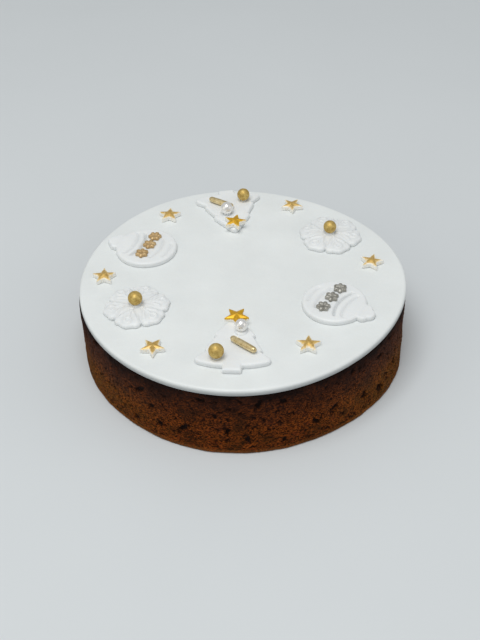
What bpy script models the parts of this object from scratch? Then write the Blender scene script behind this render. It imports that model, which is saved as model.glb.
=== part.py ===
"""Round rich fruit cake under a flat lid of white icing.

Two trees, two baubles and two snowflakes cut from icing stand in a ring on the lid, with a small star between
each pair. Sugar balls, sugar rods and little metallic blossoms lie on the motifs.
Metres, +Z up. The origin is under the middle of the cake, on the surface that it stands on.
"""

import math
import random

import bmesh
import bpy
from mathutils import Matrix, Vector, noise

MM = 0.001

# Driving sizes
ICING_RADIUS = 100 * MM
TOTAL_HEIGHT = 48 * MM
ICING_THICK = 4.2 * MM
GAP = 0.3 * MM
CAKE_HEIGHT = TOTAL_HEIGHT - ICING_THICK - GAP
MOTIF_BASE = TOTAL_HEIGHT + GAP

# The side: how far the cake is out of round at its top and at its foot, as (order, size, towards in degrees)
CAKE_TOP_RADIUS = 100 * MM
CAKE_FOOT_RADIUS = 101.7 * MM
TOP_EDGE_ROUND = 1.2 * MM
FOOT_ROUND = 2.4 * MM
CAKE_STEPS = 108
SIDE_ROWS = 6
TOP_WAVES = ((2, 0.6 * MM, -44), (3, 1.3 * MM, 5), (4, 0.7 * MM, 8))
FOOT_WAVES = ((2, 0.5 * MM, -36), (3, 0.3 * MM, 59), (4, 1.2 * MM, -10))
LUMP_SPAN = 14 * MM
LUMP_HEIGHT = 0.45 * MM

# Hollows left by fruit at the side: azimuth and tilt in degrees, height of the middle, long and short size
LARGE_HOLLOWS = (
    (-150, 41 * MM, 7 * MM, 3.5 * MM, -70),
    (-127, 31 * MM, 9.5 * MM, 3.4 * MM, -55),
    (-122, 23 * MM, 6 * MM, 3 * MM, -50),
    (-110, 15 * MM, 10.5 * MM, 3.6 * MM, -48),
    (-104, 38 * MM, 4.6 * MM, 3.8 * MM, 85),
    (-99.5, 27.5 * MM, 4.2 * MM, 2.6 * MM, 10),
    (-89, 10.5 * MM, 6.5 * MM, 3.2 * MM, 12),
    (-77, 7.5 * MM, 4.6 * MM, 2.6 * MM, 5),
    (-66, 14.5 * MM, 6 * MM, 3.6 * MM, 40),
    (-51, 37.5 * MM, 5.6 * MM, 3.4 * MM, 10),
    (-36.5, 33.5 * MM, 8.5 * MM, 3.4 * MM, 75),
    (-36.5, 10 * MM, 6.6 * MM, 5.2 * MM, 60),
    (-29, 38 * MM, 5.6 * MM, 3 * MM, 70),
)
SMALL_HOLLOW_COUNT = 34
SMALL_HOLLOW_SPACE = 9 * MM
HOLLOW_DEPTH = 0.42
HOLLOW_SEED = 12

# Icing lid
ICING_STEPS = 90
ICING_TOP_ROUND = 1.8 * MM
ICING_FOOT_ROUND = 0.6 * MM

# Cut-out trees: half widths and heights of the three tiers, measured from the foot of the lowest one
MOTIF_THICK = 3.0 * MM
MOTIF_SOFT_EDGE = 1.1 * MM
TREE_TIERS = ((12.2 * MM, 22.3 * MM, 1.3 * MM), (16.7 * MM, 9.3 * MM, 1.3 * MM), (23.5 * MM, 0.4 * MM, 2.4 * MM))
TREE_TIP = 41 * MM
TREE_NOTCH = 1.3 * MM
TREE_BASE_SAG = 4.4 * MM
TRUNK_HALF_WIDTH = 5.5 * MM
TRUNK_FOOT = -8.6 * MM
TREE_PLACES = {"tree_front": (-5.8 * MM, -78.4 * MM, -4.1), "tree_back": (-7.4 * MM, 87.8 * MM, -173)}

# Cut-out baubles: the round body, the lobes of the cap, and the bent grooves across the body
BAUBLE_RADIUS = 19.4 * MM
CAP_LOBES = ((22.0 * MM, 0, 4.6 * MM), (20.2 * MM, 3.8 * MM, 3.3 * MM), (20.2 * MM, -3.8 * MM, 3.3 * MM))
BAUBLE_STEPS = 78
GROOVE_PLACES = (-15.0 * MM, -9.3 * MM, 2.7 * MM, 7.8 * MM)
GROOVE_BEND = 21
GROOVE_SHARE = 0.64
GROOVE_RADIUS = 0.9 * MM
GROOVE_POINTS = 8
BAUBLE_PLACES = {"bauble_right": (55.5 * MM, -28.0 * MM, -32), "bauble_left": (-59.6 * MM, 33.2 * MM, 159)}

# Cut-out snowflakes: lobes of one arm as (distance along it, distance beside it, radius)
ARM_LOBES = (
    (12.6 * MM, 0, 7.3 * MM),
    (16.6 * MM, 0, 3.7 * MM),
    (14.9 * MM, 4.7 * MM, 3.5 * MM),
    (14.9 * MM, -4.7 * MM, 3.5 * MM),
)
SNOWFLAKE_CORE = 12 * MM
SNOWFLAKE_STEPS = 84
SNOWFLAKE_RINGS = 5
SNOWFLAKE_EDGE_THICK = 2.4 * MM
SNOWFLAKE_DOME = 1.4 * MM
SNOWFLAKE_RELIEF = 0.45 * MM
SNOWFLAKE_PLACES = {"snowflake_left": (-62.6 * MM, -26.4 * MM, 12.5), "snowflake_right": (58.6 * MM, 42.5 * MM, 44)}

# Five-pointed stars with a raised ridge to each point: place and turn on the lid, or on a tree's tip
STAR_RADIUS = 7.7 * MM
STAR_WAIST = 0.46
STAR_WALL = 2.7 * MM
STAR_PEAK = 4.1 * MM
BORDER_STARS = (
    (-51.3 * MM, -64.8 * MM, 56),
    (37.7 * MM, -65.8 * MM, 13),
    (82.0 * MM, 11.5 * MM, 0),
    (35.6 * MM, 76.6 * MM, 54),
    (-46.0 * MM, 69.2 * MM, 14),
    (-84.4 * MM, 3.6 * MM, 20),
)
TREE_STARS = {"star_tree_front": (-2.9 * MM, -42.9 * MM, 54), "star_tree_back": (-2.8 * MM, 54.6 * MM, 3)}

# Sugar balls: place, diameter, and the piece that carries each one
BALLS = {
    "ball_gold_tree_front": (-14.8 * MM, -76.2 * MM, 9.0 * MM, "tree"),
    "ball_gold_tree_back": (3.3 * MM, 83.0 * MM, 8.3 * MM, "tree"),
    "ball_gold_snowflake_left": (-62.9 * MM, -27.4 * MM, 8.7 * MM, "snowflake"),
    "ball_gold_snowflake_right": (58.1 * MM, 41.4 * MM, 8.3 * MM, "snowflake"),
    "ball_silver_tree_front": (-0.4 * MM, -53.5 * MM, 7.6 * MM, "tree"),
    "ball_silver_tree_back": (-7.9 * MM, 67.2 * MM, 8.2 * MM, "tree"),
}
BALL_SEGMENTS = 14
BALL_RINGS = 8

# Sugar rods: the middle's place and the turn
ROD_LENGTH = 19.0 * MM
ROD_RADIUS = 2.0 * MM
ROD_STEPS = 12
ROD_PLACES = {"rod_tree_front": (0.6 * MM, -68.1 * MM, -42), "rod_tree_back": (-11.6 * MM, 77.2 * MM, -34)}

# Little six-petalled metallic blossoms, three along the middle band of each bauble
BLOSSOM_RADIUS = 3.75 * MM
BLOSSOM_WAVE = 0.5 * MM
BLOSSOM_THICK = 2.0 * MM
BLOSSOM_STEPS = 24
BLOSSOMS = {
    "blossom_silver": ((48.4 * MM, -34.3 * MM), (54.1 * MM, -25.4 * MM), (59.8 * MM, -17.4 * MM)),
    "blossom_gold": ((-54.5 * MM, 41.9 * MM), (-57.6 * MM, 33.2 * MM), (-62.0 * MM, 24.0 * MM)),
}

for leftover in list(bpy.data.objects):
    bpy.data.objects.remove(leftover, do_unlink=True)

parts = bpy.data.collections.new("fruit_cake")
cutters = bpy.data.collections.new("cutters")
bpy.context.scene.collection.children.link(parts)
bpy.context.scene.collection.children.link(cutters)

centre = bpy.data.objects.new("centre", None)
parts.objects.link(centre)


def finish(name, colour, roughness, metallic=0.0):
    """A plain Principled material."""
    material = bpy.data.materials.new(name)
    material.use_nodes = True
    shader = material.node_tree.nodes["Principled BSDF"]
    shader.inputs["Base Color"].default_value = (*colour, 1)
    shader.inputs["Roughness"].default_value = roughness
    shader.inputs["Metallic"].default_value = metallic
    material.diffuse_color = (*colour, 1)
    return material


def add_part(name, mesh, material, place=(0, 0, 0), turn=0.0, crease=40):
    """One sub-part: its mesh, finish, place on the cake and turn about the upright, in degrees."""
    mesh.name = name
    mesh.shade_smooth()
    mesh.set_sharp_from_angle(angle=math.radians(crease))
    mesh.materials.clear()
    mesh.materials.append(material)
    part = bpy.data.objects.new(name, mesh)
    part.location = place
    part.rotation_euler = (0, 0, math.radians(turn))
    part.parent = centre
    parts.objects.link(part)
    return part


def evaluated_mesh(guide):
    """The mesh of a guide object with its modifiers or its bevel worked out. The guide is then removed."""
    cutters.objects.link(guide)
    bpy.context.view_layer.update()
    depsgraph = bpy.context.evaluated_depsgraph_get()
    mesh = bpy.data.meshes.new_from_object(guide.evaluated_get(depsgraph))
    bpy.data.objects.remove(guide, do_unlink=True)
    return mesh


def turned(profile, steps):
    """A solid of revolution from a profile that runs from the top centre down the outside to the bottom centre."""
    line = bpy.data.meshes.new("profile")
    line.from_pydata([(radius, 0, height) for radius, height in profile],
                     [(i, i + 1) for i in range(len(profile) - 1)], [])
    guide = bpy.data.objects.new("profile", line)
    screw = guide.modifiers.new("turn", "SCREW")
    screw.steps = screw.render_steps = steps
    screw.use_merge_vertices = True
    screw.merge_threshold = 0.0001
    return evaluated_mesh(guide)


def reshape(mesh, rule):
    """Moves each point of a mesh by a rule."""
    for vertex in mesh.vertices:
        vertex.co = rule(vertex.co)


def quarter_round(middle_radius, middle_height, radius, first, last, count):
    """Points of an arc in a profile, from one angle to another in degrees, ends included."""
    points = []
    for i in range(count + 1):
        angle = math.radians(first + (last - first) * i / count)
        points.append((middle_radius + radius * math.cos(angle), middle_height + radius * math.sin(angle)))
    return points


def waves(angle, terms):
    """How far an outline stands out of round at an angle."""
    return sum(size * math.cos(order * (angle - math.radians(towards))) for order, size, towards in terms)


def cake_growth(angle, height):
    """How far the cake's side stands out of its round profile, at an angle and a height."""
    rise = height / CAKE_HEIGHT
    lump = noise.noise(Vector((CAKE_TOP_RADIUS * math.cos(angle), CAKE_TOP_RADIUS * math.sin(angle), height)) / LUMP_SPAN)
    return rise * waves(angle, TOP_WAVES) + (1 - rise) * waves(angle, FOOT_WAVES) + LUMP_HEIGHT * lump


def cake_radius(height):
    """The round profile's radius at a height, before the edges are rounded."""
    rise = height / CAKE_HEIGHT
    return CAKE_FOOT_RADIUS + (CAKE_TOP_RADIUS - CAKE_FOOT_RADIUS) * rise


def grown(point, growth, radius):
    """A point of a ring moved out by the growth that its outline has."""
    factor = 1 + growth / radius
    return Vector((point.x * factor, point.y * factor, point.z))


def cake_mesh():
    """The cake's body: straight baked side, softly rounded foot, slightly out of round."""
    foot_middle = CAKE_FOOT_RADIUS - FOOT_ROUND
    top_middle = CAKE_TOP_RADIUS - TOP_EDGE_ROUND
    profile = [(0, CAKE_HEIGHT)]
    profile += quarter_round(top_middle, CAKE_HEIGHT - TOP_EDGE_ROUND, TOP_EDGE_ROUND, 90, 0, 2)
    low, high = FOOT_ROUND, CAKE_HEIGHT - TOP_EDGE_ROUND
    for row in range(1, SIDE_ROWS):
        height = high + (low - high) * row / SIDE_ROWS
        profile.append((cake_radius(height), height))
    profile += quarter_round(foot_middle, FOOT_ROUND, FOOT_ROUND, 0, -90, 3)
    profile.append((0, 0))
    mesh = turned(profile, CAKE_STEPS)

    def rule(point):
        angle = math.atan2(point.y, point.x)
        return grown(point, cake_growth(angle, point.z), CAKE_TOP_RADIUS)

    reshape(mesh, rule)
    return mesh


def hollow_list():
    """The large hollows, and small ones scattered evenly over what is left of the side."""
    random.seed(HOLLOW_SEED)
    hollows = list(LARGE_HOLLOWS)
    tries = 0
    while len(hollows) < len(LARGE_HOLLOWS) + SMALL_HOLLOW_COUNT and tries < 4000:
        tries += 1
        azimuth = random.uniform(-180, 180)
        height = random.uniform(5, 38) * MM
        long_size = random.uniform(3.6, 7.5) * MM
        short_size = long_size * random.uniform(0.5, 0.75)
        tilt = random.uniform(-75, 75)
        clear = True
        for other in hollows:
            turn = math.radians((azimuth - other[0] + 180) % 360 - 180)
            apart = math.hypot(turn * CAKE_TOP_RADIUS, height - other[1])
            clear = clear and apart > SMALL_HOLLOW_SPACE + other[2] / 2
        if clear:
            hollows.append((azimuth, height, long_size, short_size, tilt))
    return hollows


def hollow_cutter():
    """All hollows as one cutter: a flattened ball for each, its middle just outside the cake's side."""
    shell = bmesh.new()
    for azimuth, height, long_size, short_size, tilt in hollow_list():
        angle = math.radians(azimuth)
        surface = cake_radius(height) * (1 + cake_growth(angle, height) / CAKE_TOP_RADIUS)
        reach = short_size * 0.62
        outside = surface + reach * (1 - 2 * HOLLOW_DEPTH)
        place = Matrix.Translation((outside * math.cos(angle), outside * math.sin(angle), height))
        facing = Matrix.Rotation(angle, 4, "Z") @ Matrix.Rotation(math.radians(tilt), 4, "X")
        size = Matrix.Diagonal((reach, long_size * 0.62, short_size * 0.62, 1))
        bmesh.ops.create_icosphere(shell, subdivisions=1, radius=1, matrix=place @ facing @ size)
    mesh = bpy.data.meshes.new("hollows")
    shell.to_mesh(mesh)
    shell.free()
    cutter = bpy.data.objects.new("hollows", mesh)
    cutter.parent = centre
    cutter.hide_render = True
    cutter.display_type = "WIRE"
    cutters.objects.link(cutter)
    return cutter


def cut_away(part, cutter):
    """Takes the cutter's shape out of a part."""
    cut = part.modifiers.new("cut", "BOOLEAN")
    cut.operation = "DIFFERENCE"
    cut.solver = "EXACT"
    cut.object = cutter


def icing_mesh():
    """The icing lid: a flat disc trimmed to the cake, its upper edge smoothed round by hand."""
    low = CAKE_HEIGHT + GAP
    profile = [(0, TOTAL_HEIGHT)]
    profile += quarter_round(ICING_RADIUS - ICING_TOP_ROUND, TOTAL_HEIGHT - ICING_TOP_ROUND, ICING_TOP_ROUND, 90, 0, 3)
    profile += quarter_round(ICING_RADIUS - ICING_FOOT_ROUND, low + ICING_FOOT_ROUND, ICING_FOOT_ROUND, 0, -90, 1)
    profile.append((0, low))
    mesh = turned(profile, ICING_STEPS)

    def rule(point):
        angle = math.atan2(point.y, point.x)
        return grown(point, waves(angle, TOP_WAVES), ICING_RADIUS)

    reshape(mesh, rule)
    return mesh


def cut_out_mesh(outline, thick, soft_edge):
    """A flat piece stamped from icing: an outline with a flat foot, and a soft edge all round its top."""
    curve = bpy.data.curves.new("outline", "CURVE")
    curve.dimensions = "2D"
    curve.fill_mode = "BOTH"
    curve.extrude = thick / 2
    spline = curve.splines.new("POLY")
    spline.points.add(len(outline) - 1)
    for point, (x, y) in zip(spline.points, outline):
        point.co = (x, y, 0, 1)
    spline.use_cyclic_u = True
    mesh = evaluated_mesh(bpy.data.objects.new("outline", curve))
    shell = bmesh.new()
    shell.from_mesh(mesh)
    bmesh.ops.remove_doubles(shell, verts=shell.verts, dist=0.01 * MM)
    bmesh.ops.translate(shell, verts=shell.verts, vec=(0, 0, thick / 2))
    bmesh.ops.dissolve_limit(shell, angle_limit=math.radians(0.5), verts=shell.verts, edges=shell.edges)
    rim = [edge for edge in shell.edges
           if min(v.co.z for v in edge.verts) > thick * 0.9 and edge.calc_face_angle(0) > math.radians(30)]
    bmesh.ops.bevel(shell, geom=rim, offset=soft_edge, segments=2, profile=0.5, affect="EDGES")
    bmesh.ops.triangulate(shell, faces=shell.faces)
    bmesh.ops.recalc_face_normals(shell, faces=shell.faces)
    shell.to_mesh(mesh)
    shell.free()
    return mesh


def round_corners(corners, steps=3):
    """An outline from corners given as (x, y, radius), each rounded by an arc of its own radius."""
    points = []
    for i, (x, y, radius) in enumerate(corners):
        corner = Vector((x, y))
        before = (Vector(corners[i - 1][:2]) - corner).normalized()
        after = (Vector(corners[(i + 1) % len(corners)][:2]) - corner).normalized()
        half = before.angle(after) / 2
        if radius == 0:
            points.append((x, y))
            continue
        reach = radius / math.tan(half)
        middle = corner + (before + after).normalized() * radius / math.sin(half)
        start = corner + before * reach - middle
        sweep = (corner + after * reach - middle).angle_signed(start)
        for k in range(steps + 1):
            arm = Matrix.Rotation(sweep * k / steps, 2) @ start
            points.append((middle.x + arm.x, middle.y + arm.y))
    return points


def tree_outline():
    """Three tiers, each tip just proud of the tier below, on a short trunk. The foot of the lowest tier sags."""
    right = [(0, TREE_TIP, 2.6 * MM)]
    for half_width, height, tip_radius in TREE_TIERS:
        right.append((half_width, height, tip_radius))
        if height > 1 * MM:
            right.append((half_width - TREE_NOTCH, height - TREE_NOTCH, 0))
    for i in (1, 2, 3):
        share = i / 4
        width = TREE_TIERS[-1][0] * (1 - share) + TRUNK_HALF_WIDTH * share
        right.append((width, -TREE_BASE_SAG * math.sin(share * math.pi / 2), 0))
    right.append((TRUNK_HALF_WIDTH, -TREE_BASE_SAG, 0))
    right.append((TRUNK_HALF_WIDTH, TRUNK_FOOT, 0.8 * MM))
    left = [(-x, y, radius) for x, y, radius in reversed(right[1:])]
    return round_corners(right + left)


def reach_of(lobes, core, angle):
    """How far out a union of round lobes and a round core reaches from the middle, along an angle."""
    furthest = core
    for x, y, radius in lobes:
        distance = math.hypot(x, y)
        off = angle - math.atan2(y, x)
        inside = radius ** 2 - (distance * math.sin(off)) ** 2
        if inside > 0 and math.cos(off) > 0:
            furthest = max(furthest, distance * math.cos(off) + math.sqrt(inside))
    return furthest


def ring_outline(steps, reach):
    """An outline with a point at each of so many even angles."""
    angles = [2 * math.pi * i / steps for i in range(steps)]
    return [(reach(angle) * math.cos(angle), reach(angle) * math.sin(angle)) for angle in angles]


def groove_cutters(name):
    """Four bent wires laid in the top of a bauble, across its axis, which press its grooves."""
    made = []
    for number, along in enumerate(GROOVE_PLACES):
        half = math.sqrt(BAUBLE_RADIUS ** 2 - along ** 2) * GROOVE_SHARE
        curve = bpy.data.curves.new("groove", "CURVE")
        curve.dimensions = "3D"
        curve.bevel_depth = GROOVE_RADIUS
        curve.bevel_resolution = 1
        curve.use_fill_caps = True
        spline = curve.splines.new("POLY")
        spline.points.add(GROOVE_POINTS - 1)
        for i, point in enumerate(spline.points):
            across = half * (2 * i / (GROOVE_POINTS - 1) - 1)
            point.co = (along + GROOVE_BEND * across ** 2, across, MOTIF_THICK, 1)
        mesh = evaluated_mesh(bpy.data.objects.new("groove", curve))
        shell = bmesh.new()
        shell.from_mesh(mesh)
        bmesh.ops.remove_doubles(shell, verts=shell.verts, dist=0.01 * MM)
        bmesh.ops.recalc_face_normals(shell, faces=shell.faces)
        shell.to_mesh(mesh)
        shell.free()
        cutter = bpy.data.objects.new(f"{name}_groove_{number + 1}", mesh)
        cutter.hide_render = True
        cutter.display_type = "WIRE"
        cutters.objects.link(cutter)
        made.append(cutter)
    return made


def snowflake_lobes():
    """The lobes of all six arms."""
    lobes = []
    for number in range(6):
        turn = Matrix.Rotation(math.radians(60 * number), 2)
        for along, beside, radius in ARM_LOBES:
            spot = turn @ Vector((along, beside))
            lobes.append((spot.x, spot.y, radius))
    return lobes


def snowflake_mesh():
    """A lobed snowflake, higher in the middle, with six ridges that run out along its arms."""
    profile = [(0, SNOWFLAKE_EDGE_THICK)]
    for ring in range(1, SNOWFLAKE_RINGS):
        profile.append((ring / SNOWFLAKE_RINGS, SNOWFLAKE_EDGE_THICK))
    profile += [(0.96, SNOWFLAKE_EDGE_THICK), (1, SNOWFLAKE_EDGE_THICK - MOTIF_SOFT_EDGE), (1, 0), (0, 0)]
    mesh = turned(profile, SNOWFLAKE_STEPS)
    lobes = snowflake_lobes()

    def rule(point):
        angle = math.atan2(point.y, point.x)
        share = math.hypot(point.x, point.y)
        reach = reach_of(lobes, SNOWFLAKE_CORE, angle)
        height = point.z
        if height > SNOWFLAKE_EDGE_THICK / 2:
            ridge = math.cos(6 * angle) * math.sin(math.pi * min(1, share)) ** 2
            height += SNOWFLAKE_DOME * (1 - share ** 2) + SNOWFLAKE_RELIEF * ridge
        return Vector((point.x * reach, point.y * reach, height))

    reshape(mesh, rule)
    return mesh


def star_mesh():
    """A five-pointed star: an upright wall, and a top whose ridges rise from each point to the middle."""
    shell = bmesh.new()
    first_tip = Matrix.Rotation(math.radians(-90), 4, "Z")
    bmesh.ops.create_cone(shell, cap_ends=True, segments=10, radius1=STAR_RADIUS, radius2=STAR_RADIUS,
                          depth=STAR_WALL, matrix=Matrix.Translation((0, 0, STAR_WALL / 2)) @ first_tip)
    for vertex in shell.verts:
        angle = math.atan2(vertex.co.y, vertex.co.x)
        if math.cos(5 * angle) < 0:
            vertex.co.x *= STAR_WAIST
            vertex.co.y *= STAR_WAIST
    top = [face for face in shell.faces if face.normal.z > 0.5]
    middle = bmesh.ops.poke(shell, faces=top)["verts"][0]
    middle.co.z = STAR_PEAK
    bmesh.ops.triangulate(shell, faces=shell.faces)
    mesh = bpy.data.meshes.new("star")
    shell.to_mesh(mesh)
    shell.free()
    return mesh


def ball_mesh(diameter):
    """A sugar ball."""
    shell = bmesh.new()
    bmesh.ops.create_uvsphere(shell, u_segments=BALL_SEGMENTS, v_segments=BALL_RINGS, radius=diameter / 2)
    mesh = bpy.data.meshes.new("ball")
    shell.to_mesh(mesh)
    shell.free()
    return mesh


def rod_mesh():
    """A sugar rod lying along X, a little thicker in the middle, with round ends."""
    half = ROD_LENGTH / 2
    profile = [(0, half)]
    for angle in (65, 35, 0):
        profile.append((ROD_RADIUS * 0.86 * math.cos(math.radians(angle)),
                        half - ROD_RADIUS + ROD_RADIUS * math.sin(math.radians(angle))))
    profile.append((ROD_RADIUS, half * 0.3))
    profile += [(radius, -height) for radius, height in reversed(profile)]
    mesh = turned(profile, ROD_STEPS)
    mesh.transform(Matrix.Rotation(math.radians(90), 4, "Y"))
    return mesh


def blossom_mesh():
    """A little six-petalled blossom with a dimple in its middle."""
    profile = [(0, 0.72), (0.3, 0.78), (0.68, 1.0), (1, 0.62), (1, 0), (0, 0)]
    mesh = turned([(share * BLOSSOM_RADIUS, height * BLOSSOM_THICK) for share, height in profile], BLOSSOM_STEPS)

    def rule(point):
        angle = math.atan2(point.y, point.x)
        share = math.hypot(point.x, point.y) / BLOSSOM_RADIUS
        return grown(point, share * BLOSSOM_WAVE * math.cos(6 * angle), BLOSSOM_RADIUS)

    reshape(mesh, rule)
    return mesh


crumb = finish("fruit_cake_crumb", (0.075, 0.032, 0.014), 0.8)
white_icing = finish("white_icing", (0.80, 0.82, 0.82), 0.45)
white_paste = finish("white_paste", (0.84, 0.86, 0.87), 0.5)
gold_dust = finish("gold_dust", (0.62, 0.36, 0.07), 0.4, 0.6)
gold_sugar = finish("gold_sugar", (0.48, 0.29, 0.08), 0.35, 0.7)
silver_sugar = finish("silver_sugar", (0.62, 0.61, 0.60), 0.2, 0.9)

# The cake and its icing lid
cake = add_part("cake", cake_mesh(), crumb)
cut_away(cake, hollow_cutter())
add_part("icing", icing_mesh(), white_icing)

# Trees, baubles and snowflakes, set on the lid
for name, (x, y, turn) in TREE_PLACES.items():
    add_part(name, cut_out_mesh(tree_outline(), MOTIF_THICK, MOTIF_SOFT_EDGE), white_paste, (x, y, MOTIF_BASE), turn)
for name, (x, y, turn) in BAUBLE_PLACES.items():
    rim = ring_outline(BAUBLE_STEPS, lambda angle: reach_of(CAP_LOBES, BAUBLE_RADIUS, angle))
    bauble = add_part(name, cut_out_mesh(rim, MOTIF_THICK, MOTIF_SOFT_EDGE), white_paste, (x, y, MOTIF_BASE), turn)
    for cutter in groove_cutters(name):
        cutter.parent = bauble
        cut_away(bauble, cutter)
for name, (x, y, turn) in SNOWFLAKE_PLACES.items():
    add_part(name, snowflake_mesh(), white_paste, (x, y, MOTIF_BASE), turn)

# Stars between the motifs and on the tips of the trees
motif_top = MOTIF_BASE + MOTIF_THICK + GAP
for number, (x, y, turn) in enumerate(BORDER_STARS):
    add_part(f"star_{number + 1}", star_mesh(), gold_dust, (x, y, MOTIF_BASE), turn)
for name, (x, y, turn) in TREE_STARS.items():
    add_part(name, star_mesh(), gold_dust, (x, y, motif_top), turn)

# Balls, rods and blossoms, set on the motifs
snowflake_top = MOTIF_BASE + SNOWFLAKE_EDGE_THICK + SNOWFLAKE_DOME + GAP
for name, (x, y, diameter, carrier) in BALLS.items():
    sugar = gold_sugar if "gold" in name else silver_sugar
    foot = snowflake_top if carrier == "snowflake" else motif_top
    add_part(name, ball_mesh(diameter), sugar, (x, y, foot + diameter / 2), crease=60)
for name, (x, y, turn) in ROD_PLACES.items():
    add_part(name, rod_mesh(), gold_sugar, (x, y, motif_top + ROD_RADIUS), turn, crease=60)
for name, places in BLOSSOMS.items():
    sugar = gold_sugar if "gold" in name else silver_sugar
    for number, (x, y) in enumerate(places):
        add_part(f"{name}_{number + 1}", blossom_mesh(), sugar, (x, y, motif_top), 11 * number)
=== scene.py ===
"""Dresses the solids of a round fruit cake under white icing.

It makes the torn crumb, the rolled icing, the stamped motifs, the dusted stars and the metallic sugar.
"""

import math
import random

import bpy
import numpy as np
from mathutils import Matrix, Vector, noise


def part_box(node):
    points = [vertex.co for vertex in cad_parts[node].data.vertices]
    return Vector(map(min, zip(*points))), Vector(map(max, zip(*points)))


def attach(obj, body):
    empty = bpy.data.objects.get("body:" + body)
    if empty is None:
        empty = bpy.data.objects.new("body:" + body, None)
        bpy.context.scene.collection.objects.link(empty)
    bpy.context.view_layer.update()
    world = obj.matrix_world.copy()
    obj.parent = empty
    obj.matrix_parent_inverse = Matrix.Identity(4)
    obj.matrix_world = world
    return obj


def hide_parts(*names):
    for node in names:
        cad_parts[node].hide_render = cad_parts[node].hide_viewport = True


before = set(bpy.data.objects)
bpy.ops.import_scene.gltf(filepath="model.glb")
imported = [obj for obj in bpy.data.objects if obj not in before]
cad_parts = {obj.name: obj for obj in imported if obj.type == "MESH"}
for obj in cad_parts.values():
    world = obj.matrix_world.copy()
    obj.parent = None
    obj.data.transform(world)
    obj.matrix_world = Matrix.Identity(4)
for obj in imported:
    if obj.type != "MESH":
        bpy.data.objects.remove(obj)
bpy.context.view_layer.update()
MM = 0.001

# The cake
# A dense rich fruit cake, baked slowly in a round tin lined with paper and turned out upside down, so its
# sides are bare. The crumb is close and dark, torn into pits where currants and raisins lay against the
# lining. Its upper part is painted darker towards the icing and almost black at the edge: partly the crust
# that baked dark against the tin's base, partly painted shade under the icing.
CAKE_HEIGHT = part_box("cake")[1][2]
CAKE_TOP_RADIUS = 100 * MM
CAKE_FOOT_RADIUS = 101.7 * MM
TOP_EDGE_ROUND = 1.2 * MM
FOOT_ROUND = 1.3 * MM

# Waves of the outline: how many go round, their height, and the azimuth of a crest in degrees
TOP_WAVES = ((2, 0.6 * MM, -44), (3, 1.3 * MM, 5), (4, 0.7 * MM, 8))
FOOT_WAVES = ((2, 0.5 * MM, -36), (3, 0.3 * MM, 59), (4, 1.2 * MM, -10))

# Where the side leans in: azimuth and half width in degrees, and the change at the top and at the foot
LEANS = ((187, 15, 0.8 * MM, -2.2 * MM), (-6, 13, 0, -1.4 * MM))
LUMP_SPAN = 14 * MM
LUMP_HEIGHT = 0.45 * MM
CRUMB_COLUMNS = 1080
CRUMB_ROWS = 80

# Hollows left by fruit: azimuth in degrees, height of the middle, long and short size, tilt in degrees
LARGE_HOLLOWS = (
    (-150, 41 * MM, 7 * MM, 3.5 * MM, -70),
    (-127, 31 * MM, 9.5 * MM, 3.4 * MM, -55),
    (-122, 23 * MM, 6 * MM, 3 * MM, -50),
    (-110, 15 * MM, 10.5 * MM, 3.6 * MM, -48),
    (-104, 38 * MM, 4.6 * MM, 3.8 * MM, 85),
    (-99.5, 27.5 * MM, 4.2 * MM, 2.6 * MM, 10),
    (-89, 10.5 * MM, 6.5 * MM, 3.2 * MM, 12),
    (-77, 7.5 * MM, 4.6 * MM, 2.6 * MM, 5),
    (-66, 14.5 * MM, 6 * MM, 3.6 * MM, 40),
    (-51, 37.5 * MM, 5.6 * MM, 3.4 * MM, 10),
    (-36.5, 33.5 * MM, 8.5 * MM, 3.4 * MM, 75),
    (-36.5, 10 * MM, 6.6 * MM, 5.2 * MM, 60),
    (-29, 38 * MM, 5.6 * MM, 3 * MM, 70),
)
SMALL_HOLLOW_COUNT = 34
SMALL_HOLLOW_TRIES = 4000
SMALL_HOLLOW_SPACE = 9 * MM
SMALL_HOLLOW_HEIGHTS = (5 * MM, 38 * MM)
SMALL_HOLLOW_SIZES = (3.6 * MM, 7.5 * MM)
HOLLOW_SEED = 12
PIT_COUNT = 1400
PIT_SIZES = (1.1 * MM, 1.3 * MM, 1.6 * MM, 2.0 * MM, 2.6 * MM, 3.4 * MM)
PIT_HEIGHTS = (2.5 * MM, 41.5 * MM)
PIT_SEED = 5

# Depths of the hollows and pits as a share of their short size, and the form of their walls and ragged rims
HOLLOW_DEPTH = 0.5
PIT_DEPTH = 0.42
BOWL_REACH = 1.15
BOWL_WALL = 0.6
RIM_RAGGEDNESS = 0.55
RAGGED_SPAN = 1.5 * MM

# The torn crumb between them: its flattened grain, its coarser swells, how far all of it lies in, and the
# height over which it calms down to a plain edge
GRAIN_SPAN = 1.9 * MM
GRAIN_DEPTH = 0.26 * MM
GRAIN_FLATTENING = 1.7
GRAIN_NOISE = (0.8, 2.1, 3)
COARSE_SPAN = 6 * MM
COARSE_DEPTH = 0.16 * MM
CRUMB_INSET = 0.30 * MM
CALM_EDGE = 1.2 * MM

# Heights between which one tone of the side gives way to the next, and how far they wander
RED_HEIGHTS = (36 * MM, 12 * MM)
# Heights over which the painted light on the flanks turns from warm to greyer
LIT_FLANK_HEIGHTS = (14 * MM, 32 * MM)
# The dark upper band and the near-black edge: partly crust, partly painted shade under the icing
UPPER_HEIGHTS = (18 * MM, 38 * MM)
BURNT_AND_SHADED_HEIGHTS = (37.5 * MM, 42.5 * MM)
RIM_HEIGHTS = (1.2 * MM, 3.4 * MM)
TONE_WANDER = 7 * MM

# How far from the middle the painted bounce light and sheen on the flanks begin, and where they are strongest
FLANK_REACH = (38 * MM, 90 * MM)

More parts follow.
